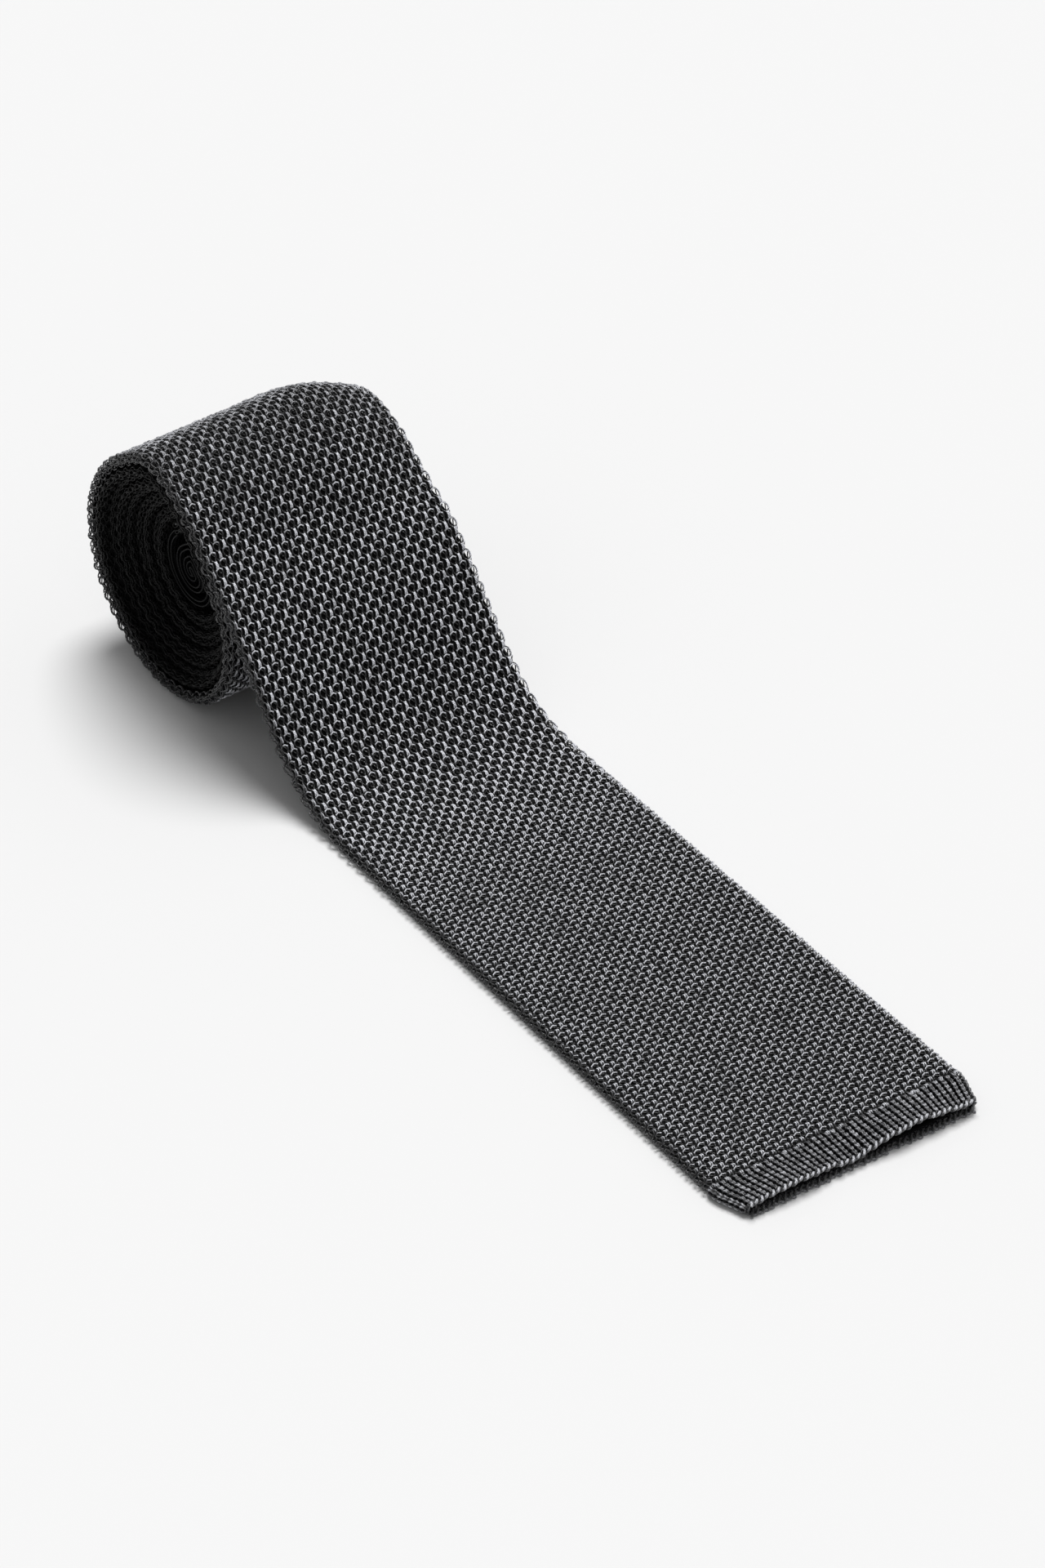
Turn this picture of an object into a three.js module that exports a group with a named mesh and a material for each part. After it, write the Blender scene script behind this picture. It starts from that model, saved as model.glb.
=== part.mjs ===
// A knitted silk tie with a square end, rolled up from its middle and partly unrolled on a table.
// Millimetres, +Z up. +Y runs from the tip of the front blade towards the roll, X across the blade.
import * as THREE from 'three';

// Driving dimensions ---------------------------------------------------------------------------

const gap = 0.3;               // clearance between pieces that touch

const tipWidth = 58;           // front blade at its tip; it narrows evenly to the neckband
const neckWidth = 35;          // neckband
const tailEndWidth = 45;       // tail blade at its own tip

const looseKnit = 1.25;        // one layer of the knitted tube where it lies free
const woundKnit = 1.05;        // the same layer pressed inside the roll
const neckCloth = 0.7;         // the smooth cloth of the neckband
const edgeRound = 0.9;         // bevel of the tube's folded edge

const flatLength = 126;        // length of blade that lies on the table
const lastFlat = 22;           // from the inner fold line to where the blade leaves the table
const foldSpacing = 50;        // from the inner fold line to the outer one

const rollReach = 62.8;        // from where the blade leaves the table to the middle of the roll
const floorRadius = 24.8;      // radius of the roll where it touches the table
const meetAngle = THREE.MathUtils.degToRad(148);   // where the blade meets the roll
const floorAngle = THREE.MathUtils.degToRad(-90);  // where the roll touches the table
const neckStartRadius = 10;    // the knitted blades end here and the neckband begins
const coreRadius = 3.4;        // open eye in the middle of the roll
const dent = { depth: 0.16, at: 138, spread: 28 };   // the roll is pressed flat where the blade leaves
const crown = { depth: 0.08, at: 82, spread: 18 };   // and stands up behind it
const riseStart = 22;          // pull of the curve where the blade leaves the table
const riseEnd = 26;            // pull of the curve where the blade meets the roll

const castOffLength = 1.6;     // chain of the last row
const hemLength = 7;           // ribbed band next to it
const tackWidth = 1.6;

const seamWidth = 1.2;         // centre seam on the back of the blade
const seamHeight = 0.5;
const seamInset = 0.2;         // share of that height by which it sits inside the back's surface
const joinLength = 1.2;        // seams between the knitted blades and the neckband

const keeper = { pastFlat: 23, length: 12, halfSpan: 18, flatEnd: 3, bow: 1.4, cloth: 0.8 };
const careTag = { length: 6, width: 12, cloth: 0.4, offset: 4 };

const coreRecess = 7.5;        // the middle of the roll sits this far inside its left face
const tailRecess = 2.5;        // the tail's left edge sits inside the blade's

const bezierSteps = 14;
const stepsPerTurn = 36;
const shortestStep = 0.2;

// Materials ------------------------------------------------------------------------------------

const charcoal = () => new THREE.MeshStandardMaterial({ color: 0x34353a, roughness: 0.62, metalness: 0 });
const darkKnit = () => new THREE.MeshStandardMaterial({ color: 0x222327, roughness: 0.7, metalness: 0 });
const smoothSilk = () => new THREE.MeshStandardMaterial({ color: 0x1b1c20, roughness: 0.45, metalness: 0 });
const thread = () => new THREE.MeshStandardMaterial({ color: 0x2a2b30, roughness: 0.5, metalness: 0 });
const label = () => new THREE.MeshStandardMaterial({ color: 0x15161a, roughness: 0.5, metalness: 0 });

// The path of the tie's face, from the tip of the front blade to the eye of the roll ------------

const looseStack = 2 * looseKnit + gap;     // both layers of the tube on the table
const innerFold = flatLength - lastFlat;    // fold lines, as distances from the tip
const outerFold = innerFold - foldSpacing;
const rollCentre = { y: flatLength + rollReach, z: floorRadius };
const turnPitch = 2 * (woundKnit + gap) / (1 - dent.depth);     // one blade and one tail, wound together
const neckPitch = 2 * (neckCloth + gap) / (1 - dent.depth);     // both legs of the neckband
const floorTurn = (meetAngle - floorAngle) / (2 * Math.PI);
const firstRadius = rollCentre.z + floorTurn * turnPitch;
const woundTurns = (firstRadius - neckStartRadius) / turnPitch;
const widePitchTurns = woundTurns + 1;      // the neckband's first turn still lies under knitted blades
const neckTurns = 1 + (neckStartRadius - turnPitch - coreRadius) / neckPitch;

function bump({ depth, at, spread }, angle) {
  const away = (THREE.MathUtils.euclideanModulo(THREE.MathUtils.radToDeg(angle) - at + 180, 360) - 180) / spread;
  return depth * Math.exp(-away * away);
}

function rollPoint(turn) {
  const angle = meetAngle - turn * 2 * Math.PI;
  const wideTurns = Math.min(turn, widePitchTurns);
  const round = firstRadius - turnPitch * wideTurns - neckPitch * (turn - wideTurns);
  const radius = round * (1 - bump(dent, angle) + bump(crown, angle));
  return new THREE.Vector2(rollCentre.y + radius * Math.cos(angle), rollCentre.z + radius * Math.sin(angle));
}

// Each station holds its distance s from the tip, its place, the outward normal of the face, and how
// many turns of the roll lie before it.
function makePath() {
  const leaves = new THREE.Vector2(flatLength, looseStack);
  const meet = rollPoint(0);
  const along = rollPoint(0.002).sub(meet).normalize();
  const rise = new THREE.CubicBezierCurve(
    leaves, new THREE.Vector2(flatLength + riseStart, looseStack),
    meet.clone().addScaledVector(along, -riseEnd), meet,
  );
  const stops = [{ point: new THREE.Vector2(0, looseStack), turn: -1 }];
  for (const point of rise.getPoints(bezierSteps)) stops.push({ point, turn: -1 });
  stops[stops.length - 1].turn = 0;
  for (const [from, turns] of [[0, 1], [1, woundTurns - 1], [woundTurns, neckTurns]]) {
    const steps = Math.ceil(turns * stepsPerTurn);
    for (let i = 1; i <= steps; i++) {
      const turn = from + turns * i / steps;
      stops.push({ point: rollPoint(turn), turn });
    }
  }
  let travelled = 0;
  return stops.map(({ point, turn }, i) => {
    const before = stops[Math.max(i - 1, 0)].point;
    const after = stops[Math.min(i + 1, stops.length - 1)].point;
    const way = after.clone().sub(before).normalize();
    travelled += point.distanceTo(before);
    return { s: travelled, y: point.x, z: point.y, ny: -way.y, nz: way.x, turn };
  });
}

const path = makePath();
const distanceAt = (turn) => path.find((p) => p.turn >= turn - 1e-9).s;
const meetsRoll = distanceAt(0);
const firstTurnEnd = distanceAt(1);
const neckStart = distanceAt(woundTurns);
const neckFold = path[path.length - 1].s;

function stationAt(s) {
  const i = Math.max(1, path.findIndex((p) => p.s >= s));
  const a = path[i - 1];
  const b = path[i];
  const k = (s - a.s) / (b.s - a.s);
  const mix = (key) => THREE.MathUtils.lerp(a[key], b[key], k);
  return { s, y: mix('y'), z: mix('z'), ny: mix('ny'), nz: mix('nz') };
}

function stationsBetween(from, to) {
  const inside = path.filter((p) => p.s > from + shortestStep && p.s < to - shortestStep);
  return [stationAt(from), ...inside, stationAt(to)];
}

// Sizes that change along the tie -----------------------------------------------------------------

const leftOfTip = -tipWidth / 2;
const between = (s, from, to) => THREE.MathUtils.smoothstep(s, from, to);
const layer = (s) => THREE.MathUtils.lerp(looseKnit, woundKnit, between(s, flatLength, meetsRoll));
const recess = (s) => coreRecess * between(s, firstTurnEnd, neckStart);
const left = (s) => leftOfTip + recess(s);
const bladeWidth = (s) => THREE.MathUtils.lerp(tipWidth, neckWidth, Math.min(s / neckStart, 1));
const centre = (s) => left(s) + bladeWidth(s) / 2;
const right = (s) => left(s) + bladeWidth(s);

// Building blocks ---------------------------------------------------------------------------------

// Sweeps a closed outline along part of the path. outlineAt(s) gives [x, depth] points, where depth is
// measured down from the face of the tie, anticlockwise as seen by someone looking along the path.
function sweep(from, to, outlineAt) {
  const stations = stationsBetween(from, to);
  const rings = stations.map((p) => outlineAt(p.s).map(
    ([x, depth]) => [x, p.y - p.ny * depth, p.z - p.nz * depth]));
  const count = rings[0].length;
  const positions = rings.flat(2);
  const index = [];
  for (let i = 0; i + 1 < rings.length; i++) {
    for (let j = 0; j < count; j++) {
      const a = i * count + j;
      const b = i * count + (j + 1) % count;
      index.push(a, a + count, b, b, a + count, b + count);
    }
  }
  const outline = outlineAt(from).map(([x, depth]) => new THREE.Vector2(x, -depth));
  const cap = THREE.ShapeUtils.triangulateShape(outline, []);
  const last = (rings.length - 1) * count;
  for (const [a, b, c] of cap) {
    index.push(a, b, c);
    index.push(last + a, last + c, last + b);
  }
  const geometry = new THREE.BufferGeometry();
  geometry.setAttribute('position', new THREE.Float32BufferAttribute(positions, 3));
  geometry.setIndex(index);
  return geometry;
}

const block = (x0, x1, top, bottom) => [[x0, bottom], [x1, bottom], [x1, top], [x0, top]];

function faceOutline(s) {
  const thick = layer(s);
  return [
    [left(s), thick], [right(s), thick], [right(s), thick / 2], [right(s) - edgeRound, 0],
    [left(s) + edgeRound, 0], [left(s), thick / 2],
  ];
}

// The back layer has a shallow channel along its middle, where the seam lies.
function backOutline(s) {
  const thick = layer(s);
  const top = thick + gap;
  const bottom = top + thick;
  const channel = seamWidth / 2 + gap;
  const roof = bottom - seamHeight - gap;
  const middle = centre(s);
  return [
    [left(s) + edgeRound, bottom], [middle - channel, bottom], [middle - channel, roof],
    [middle + channel, roof], [middle + channel, bottom], [right(s) - edgeRound, bottom],
    [right(s), bottom - thick / 2], [right(s), top], [left(s), top], [left(s), bottom - thick / 2],
  ];
}

function seamOutline(s) {
  const bottom = 2 * layer(s) + gap - seamHeight * seamInset;
  const top = bottom - seamHeight * (1 - seamInset);
  return block(centre(s) - seamWidth / 2, centre(s) + seamWidth / 2, top, bottom);
}

const tie = new THREE.Group();

function add(name, geometry, material) {
  geometry.computeVertexNormals();
  const mesh = new THREE.Mesh(geometry, material);
  mesh.name = name;
  tie.add(mesh);
}

// The open end of a knitted tube: a chained last row around its mouth, ribbed bands, corner tacks --

function addBladeEnd() {
  const ribEnd = castOffLength + gap + hemLength;
  const ring = (s) => block(left(s) + tackWidth + gap, right(s) - tackWidth - gap, 0, layer(s));
  const lowerRing = (s) => block(
    left(s) + tackWidth + gap, right(s) - tackWidth - gap, layer(s) + gap, 2 * layer(s) + gap);
  add('face_cast_off_chain', sweep(0, castOffLength, ring), thread());
  add('back_cast_off_chain', sweep(0, castOffLength, lowerRing), thread());
  for (const [side, x] of [['left', left(0)], ['right', right(0) - tackWidth]]) {
    const tack = block(x, x + tackWidth, looseKnit / 2, looseStack - looseKnit / 2);
    add(`${side}_mouth_tack`, sweep(0, castOffLength, () => tack), thread());
  }
  add('face_hem_rib', sweep(castOffLength + gap, ribEnd, faceOutline), charcoal());
  add('back_hem_rib', sweep(castOffLength + gap, ribEnd, backOutline), darkKnit());
  const bodyEnd = outerFold - gap / 2;
  add('end_face_knit', sweep(ribEnd + gap, bodyEnd, faceOutline), charcoal());
  add('end_back_knit', sweep(ribEnd + gap, bodyEnd, backOutline), darkKnit());
  add('end_back_seam', sweep(castOffLength + gap, bodyEnd, seamOutline), thread());
}

function addBladeMiddle() {
  const from = outerFold + gap / 2;
  const to = innerFold - gap / 2;
  add('middle_face_knit', sweep(from, to, faceOutline), charcoal());
  add('middle_back_knit', sweep(from, to, backOutline), darkKnit());
  add('middle_back_seam', sweep(from, to, seamOutline), thread());
}

// The stretch that climbs from the table to the roll and goes once round it ------------------------

function addRise() {
  const from = innerFold + gap / 2;
  const to = meetsRoll - gap / 2;
  add('rise_face_knit', sweep(from, to, faceOutline), charcoal());
  add('rise_back_knit', sweep(from, to, backOutline), darkKnit());
  add('rise_back_seam', sweep(from, to, seamOutline), thread());
  const outerEnd = firstTurnEnd - gap / 2;
  add('outer_turn_face_knit', sweep(meetsRoll + gap / 2, outerEnd, faceOutline), charcoal());
  add('outer_turn_back_knit', sweep(meetsRoll + gap / 2, outerEnd, backOutline), darkKnit());
}

// A strap on the back of the blade, open in the middle, that holds the tail when the tie is worn ---

function addKeeper() {
  const { length, halfSpan, flatEnd, bow, cloth } = keeper;
  const start = flatLength + keeper.pastFlat;
  const strapTop = (s) => 2 * layer(s) + 2 * gap;
  add('keeper_strap', sweep(start, start + length, (s) => {
    const c = centre(s);
    const high = strapTop(s);
    const low = high + bow;
    return [
      [c - halfSpan, high + cloth], [c - halfSpan + flatEnd, high + cloth],
      [c - halfSpan + 2 * flatEnd, low + cloth], [c + halfSpan - 2 * flatEnd, low + cloth],
      [c + halfSpan - flatEnd, high + cloth], [c + halfSpan, high + cloth],
      [c + halfSpan, high], [c + halfSpan - flatEnd, high],
      [c + halfSpan - 2 * flatEnd, low], [c - halfSpan + 2 * flatEnd, low],
      [c - halfSpan + flatEnd, high], [c - halfSpan, high],
    ];
  }), label());
  for (const [side, sign] of [['left', -1], ['right', 1]]) {
    add(`keeper_${side}_tack`, sweep(start + gap, start + length - gap, (s) => {
      const middle = centre(s) + sign * (halfSpan - flatEnd / 2);
      const top = strapTop(s) + cloth + gap;
      return block(middle - tackWidth / 2, middle + tackWidth / 2, top, top + seamHeight);
    }), thread());
  }
  const tagEnd = start - gap;
  add('care_tag', sweep(tagEnd - careTag.length, tagEnd, (s) => {
    const x = centre(s) + careTag.offset;
    return block(x, x + careTag.width, strapTop(s), strapTop(s) + careTag.cloth);
  }), label());
}

// Inside the roll -----------------------------------------------------------------------------------

// The tail and the second leg of the neckband lie under the front blade and the first leg.
const tailTop = woundKnit + gap;
const tailStart = firstTurnEnd + 4;
const tailKnitStart = tailStart + castOffLength + gap + hemLength + gap;
const tailWidth = (s) => THREE.MathUtils.lerp(tailEndWidth, neckWidth, (s - tailStart) / (neckStart - tailStart));
const tailLeft = (s) => left(s) + tailRecess * (1 - between(s, firstTurnEnd, neckStart));
const tailOutline = (s) => block(tailLeft(s), tailLeft(s) + tailWidth(s), tailTop, tailTop + woundKnit);

function addWoundBlades() {
  const knitEnd = neckStart - joinLength - gap;
  const blade = (s) => block(left(s), right(s), 0, woundKnit);
  add('wound_front_blade', sweep(firstTurnEnd + gap / 2, knitEnd, blade), charcoal());
  add('front_neck_join', sweep(knitEnd + gap, neckStart, blade), thread());
  add('tail_cast_off_chain', sweep(tailStart, tailStart + castOffLength, tailOutline), thread());
  const ribStart = tailStart + castOffLength + gap;
  add('tail_hem_rib', sweep(ribStart, ribStart + hemLength, tailOutline), darkKnit());
  add('tail_blade', sweep(tailKnitStart, knitEnd, tailOutline), charcoal());
  add('tail_neck_join', sweep(knitEnd + gap, neckStart, tailOutline), thread());
}

// The neckband runs to the eye of the roll, folds there and comes back under itself.
function addNeckband() {
  const start = neckStart + gap;
  const end = neckFold;
  const stations = stationsBetween(start, end);
  const secondTop = neckCloth + gap;
  const stack = 2 * neckCloth + gap;
  const at = (p, depth) => new THREE.Vector2(p.y - p.ny * depth, p.z - p.nz * depth);
  const lastStation = stations[stations.length - 1];
  const along = new THREE.Vector2(lastStation.nz, -lastStation.ny);
  const fold = (radius, steps, sign) => Array.from({ length: steps - 1 }, (_, i) => {
    const turn = Math.PI * (i + 1) / steps;
    return at(lastStation, stack / 2 - sign * radius * Math.cos(turn)).addScaledVector(along, radius * Math.sin(turn));
  });
  const back = [...stations].reverse();
  const outline = new THREE.Shape([
    ...stations.map((p) => at(p, 0)), ...fold(stack / 2, 8, 1), ...back.map((p) => at(p, stack)),
    ...stations.map((p) => at(p, secondTop)), ...fold(gap / 2, 4, -1), ...back.map((p) => at(p, neckCloth)),
  ]);
  const geometry = new THREE.ExtrudeGeometry(outline, { depth: neckWidth, bevelEnabled: false });
  geometry.rotateX(Math.PI / 2);
  geometry.rotateZ(Math.PI / 2);
  geometry.translate(left(neckStart), 0, 0);
  add('neckband', geometry, smoothSilk());
}

addBladeEnd();
addBladeMiddle();
addRise();
addKeeper();
addWoundBlades();
addNeckband();

// The origin is the middle of the underside of the whole tie.
const box = new THREE.Box3().setFromObject(tie);
tie.position.set(-(box.min.x + box.max.x) / 2, -(box.min.y + box.max.y) / 2, -box.min.z);

export default tie;
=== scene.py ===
"""A rolled, square-ended tie of knitted silk: yarn, cloth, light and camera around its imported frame."""
import math
import bpy
import numpy as np
from mathutils import Matrix, Vector


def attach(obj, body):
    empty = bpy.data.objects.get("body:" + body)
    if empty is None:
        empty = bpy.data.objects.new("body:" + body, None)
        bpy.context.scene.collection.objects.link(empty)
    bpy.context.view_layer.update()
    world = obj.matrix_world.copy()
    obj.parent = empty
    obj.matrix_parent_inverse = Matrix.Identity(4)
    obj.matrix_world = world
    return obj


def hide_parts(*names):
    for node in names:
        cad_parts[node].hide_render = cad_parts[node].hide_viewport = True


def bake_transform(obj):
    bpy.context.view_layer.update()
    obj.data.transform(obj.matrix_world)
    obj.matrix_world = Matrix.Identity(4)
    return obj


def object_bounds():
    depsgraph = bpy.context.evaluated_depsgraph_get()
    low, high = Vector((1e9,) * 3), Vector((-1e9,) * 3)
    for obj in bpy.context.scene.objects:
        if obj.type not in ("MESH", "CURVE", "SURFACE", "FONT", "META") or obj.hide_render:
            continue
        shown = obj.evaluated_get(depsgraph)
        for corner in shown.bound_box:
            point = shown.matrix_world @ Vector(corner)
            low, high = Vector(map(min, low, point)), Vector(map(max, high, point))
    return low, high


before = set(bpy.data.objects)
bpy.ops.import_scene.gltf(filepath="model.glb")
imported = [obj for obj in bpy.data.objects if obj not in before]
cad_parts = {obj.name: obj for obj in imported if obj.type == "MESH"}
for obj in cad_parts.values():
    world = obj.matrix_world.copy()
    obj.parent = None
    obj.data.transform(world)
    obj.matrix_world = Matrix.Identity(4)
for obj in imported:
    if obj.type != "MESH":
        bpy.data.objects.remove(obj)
cad_low, cad_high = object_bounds()

MM = 0.001
rng = np.random.default_rng(7)

# ------------------------------------------------------------------ sizes shared with the CAD, mm
GAP = 0.3
TIP_WIDTH = (cad_high.x - cad_low.x) / MM
NECK_WIDTH = 35.0
TAIL_END_WIDTH = 45.0
LOOSE_KNIT = 1.25
WOUND_KNIT = 1.05
NECK_CLOTH = 0.7
FLAT_LENGTH = 126.0
INNER_FOLD = FLAT_LENGTH - 22.0
OUTER_FOLD = INNER_FOLD - 50.0
ROLL_REACH = 62.8
FLOOR_RADIUS = 24.8
MEET_ANGLE = math.radians(148)
NECK_START_RADIUS = 10.0
CORE_RADIUS = 3.4
DENT = (0.16, 138.0, 28.0)
CROWN = (0.08, 82.0, 18.0)
RISE_START = 22.0
RISE_END = 26.0
CAST_OFF = 1.6
HEM = 7.0
CORE_RECESS = 7.5
TAIL_RECESS = 2.5
KEEPER = (FLAT_LENGTH + 23.0, 12.0, 18.0, 3.0, 1.4, 0.8)
CARE_TAG = (6.0, 12.0, 0.4, 4.0)
TURN_PITCH = 2 * (WOUND_KNIT + GAP) / (1 - DENT[0])
NECK_PITCH = 2 * (NECK_CLOTH + GAP) / (1 - DENT[0])
LOOSE_STACK = 2 * LOOSE_KNIT + GAP
TIP_Y = cad_low.y / MM
LEFT = cad_low.x / MM

FIRST_RADIUS = FLOOR_RADIUS + (MEET_ANGLE + math.pi / 2) / (2 * math.pi) * TURN_PITCH
WOUND_TURNS = (FIRST_RADIUS - NECK_START_RADIUS) / TURN_PITCH
WIDE_TURNS = WOUND_TURNS + 1
EYE_CURL = 0.45  # how much further the band's fold curls into the eye of the roll, in turns
NECK_TURNS = 1 + (NECK_START_RADIUS - TURN_PITCH - CORE_RADIUS) / NECK_PITCH + EYE_CURL


def smooth(x, low, high):
    t = np.clip((np.asarray(x, float) - low) / (high - low), 0, 1)
    return t * t * (3 - 2 * t)


def bump(shape, angle):
    depth, at, spread = shape
    away = ((np.degrees(angle) - at + 180) % 360 - 180) / spread
    return depth * np.exp(-away * away)


# ------------------------------------------------------------------ the path of the tie's face
def roll_point(turn):
    turn = np.asarray(turn, float)
    angle = MEET_ANGLE - turn * 2 * math.pi
    wide = np.minimum(turn, WIDE_TURNS)
    around = FIRST_RADIUS - TURN_PITCH * wide - NECK_PITCH * (turn - wide)
    radius = around * (1 - bump(DENT, angle) + bump(CROWN, angle))
    centre_y = FLAT_LENGTH + ROLL_REACH
    return np.stack([centre_y + radius * np.cos(angle), FLOOR_RADIUS + radius * np.sin(angle)], -1)


def make_path():
    leaves = np.array([FLAT_LENGTH, LOOSE_STACK])
    meet = roll_point(0.0)
    along = roll_point(0.002) - meet
    along /= np.linalg.norm(along)
    pull = [leaves, leaves + [RISE_START, 0], meet - RISE_END * along, meet]
    t = np.linspace(0, 1, 160)[:, None]
    u = 1 - t
    rise = u ** 3 * pull[0] + 3 * u * u * t * pull[1] + 3 * u * t * t * pull[2] + t ** 3 * pull[3]
    turns = np.arange(0, WOUND_TURNS + NECK_TURNS, 1 / 360)[1:]
    flat = np.stack([np.linspace(0, FLAT_LENGTH, 200)[:-1], np.full(199, LOOSE_STACK)], -1)
    points = np.concatenate([flat, rise, roll_point(turns)])
    turn = np.concatenate([np.full(len(flat), -1.0), np.linspace(-1, 0, len(rise)), turns])
    step = np.linalg.norm(np.diff(points, axis=0), axis=1)
    s = np.concatenate([[0], np.cumsum(step)])
    way = np.gradient(points, s, axis=0)
    way /= np.linalg.norm(way, axis=1)[:, None]
    return {"s": s, "y": points[:, 0] + TIP_Y, "z": points[:, 1], "ny": -way[:, 1], "nz": way[:, 0],
            "turn": turn}


PATH = make_path()
MEETS_ROLL = float(np.interp(0.0, PATH["turn"], PATH["s"]))
FIRST_TURN_END = float(np.interp(1.0, PATH["turn"], PATH["s"]))
NECK_START = float(np.interp(WOUND_TURNS, PATH["turn"], PATH["s"]))
NECK_FOLD = float(PATH["s"][-1])


def on_path(s):
    return [np.interp(s, PATH["s"], PATH[k]) for k in ("y", "z", "ny", "nz", "turn")]


HEM_END = CAST_OFF + GAP + HEM


def left(s):
    return LEFT + CORE_RECESS * smooth(s, FIRST_TURN_END, NECK_START)


def width(s):
    return TIP_WIDTH + (NECK_WIDTH - TIP_WIDTH) * np.minimum(s / NECK_START, 1)


def tail_left(s):
    return left(s) + TAIL_RECESS * (1 - smooth(s, FIRST_TURN_END, NECK_START))


def tail_width(s):
    start = FIRST_TURN_END + 4
    return TAIL_END_WIDTH + (NECK_WIDTH - TAIL_END_WIDTH) * (s - start) / (NECK_START - start)


def knit_layer(s):
    return LOOSE_KNIT + (WOUND_KNIT - LOOSE_KNIT) * smooth(s, FLAT_LENGTH, MEETS_ROLL)


# ------------------------------------------------------------------ how the cloth lies off the plain path
DROOP = 6.0
DROOP_FROM = 36.0
DROOP_OVER = 16.0
DROOP_AT, DROOP_SPREAD = 80, 58  # degrees round the roll
MOUTH_HEIGHT = 1.9
MOUTH_REACH = 11.0
# Waves of the open end across its width, as shares of it: how high, where, how wide.
MOUTH_WAVES = [(0.75, 0.74, 0.17), (-0.45, 0.47, 0.1), (0.35, 0.2, 0.12)]
HEM_PULL = (1.5, 0.9)  # how far the hem draws the cloth in: even, and at its corners
HEM_PULL_REACH = 9.0


def droop(x, turn):
    """The roll's right margin sinks at the top, where narrower turns carry it."""
    angle = (math.degrees(MEET_ANGLE) - turn * 360 - DROOP_AT + 180) % 360 - 180
    around = np.exp(-((angle / DROOP_SPREAD) ** 2)) * smooth(turn, -0.12, 0.05)
    over = np.clip((x - LEFT - DROOP_FROM) / DROOP_OVER, 0, 1.4)
    return DROOP * around * over ** 1.6


def mouth(s, x):
    """How far the upper layer stands off the lower one at the open end, in mm."""
    across = (x - LEFT) / TIP_WIDTH
    wave = 0.25 + sum(high * np.exp(-(((across - at) / wide) ** 2)) for high, at, wide in MOUTH_WAVES)
    closed = np.sin(math.pi * np.clip(across, 0, 1)) ** 0.5
    return MOUTH_HEIGHT * wave * closed * (1 - smooth(s, 0, MOUTH_REACH))


def settle(s, x, depth, face=1.0):
    """Where a point of the cloth lies: s along the tie, x across it, depth under its face; in mm.
    face is 1 on the upper layer of the tube and -1 on the lower one."""
    y, z, ny, nz, turn = on_path(s)
    depth = depth + droop(x, turn) - mouth(s, x) * np.clip(face, 0, 1)
    middle = LEFT + TIP_WIDTH / 2
    away = (x - middle) / (TIP_WIDTH / 2)
    pull = (HEM_PULL[0] * away + HEM_PULL[1] * away ** 3) * (1 - smooth(s, 0, HEM_PULL_REACH))
    return np.stack([x - pull + 0 * s, y - ny * depth, z - nz * depth], -1)


# ------------------------------------------------------------------ mesh helpers
def make_object(name, points, faces_by_size, material, uv=None, painted_light_tone=None):
    """points in mm; faces_by_size is a list of (n, k) arrays of corners."""
    mesh = bpy.data.meshes.new(name)
    mesh.vertices.add(len(points))
    mesh.vertices.foreach_set("co", (np.asarray(points) * MM).astype(np.float32).ravel())
    corners = np.concatenate([f.ravel() for f in faces_by_size]).astype(np.int32)
    sizes = np.concatenate([np.full(len(f), f.shape[1]) for f in faces_by_size])
    starts = np.concatenate([[0], np.cumsum(sizes)[:-1]]).astype(np.int32)
    mesh.loops.add(len(corners))
    mesh.loops.foreach_set("vertex_index", corners)
    mesh.polygons.add(len(sizes))
    mesh.polygons.foreach_set("loop_start", starts)
    if uv is not None:
        layer = mesh.uv_layers.new(name="yarn")
        layer.data.foreach_set("uv", uv.astype(np.float32).ravel())
    # A per-point attribute of painted light and shade for the yarn's colour.
    if painted_light_tone is not None:
        mesh.attributes.new("painted_light_tone", "FLOAT", "POINT").data.foreach_set("value", painted_light_tone.astype(np.float32))
    mesh.update(calc_edges=True)
    mesh.polygons.foreach_set("use_smooth", np.full(len(sizes), True))
    obj = bpy.data.objects.new(name, mesh)
    bpy.context.scene.collection.objects.link(obj)
    mesh.materials.append(material)
    return obj


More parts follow.
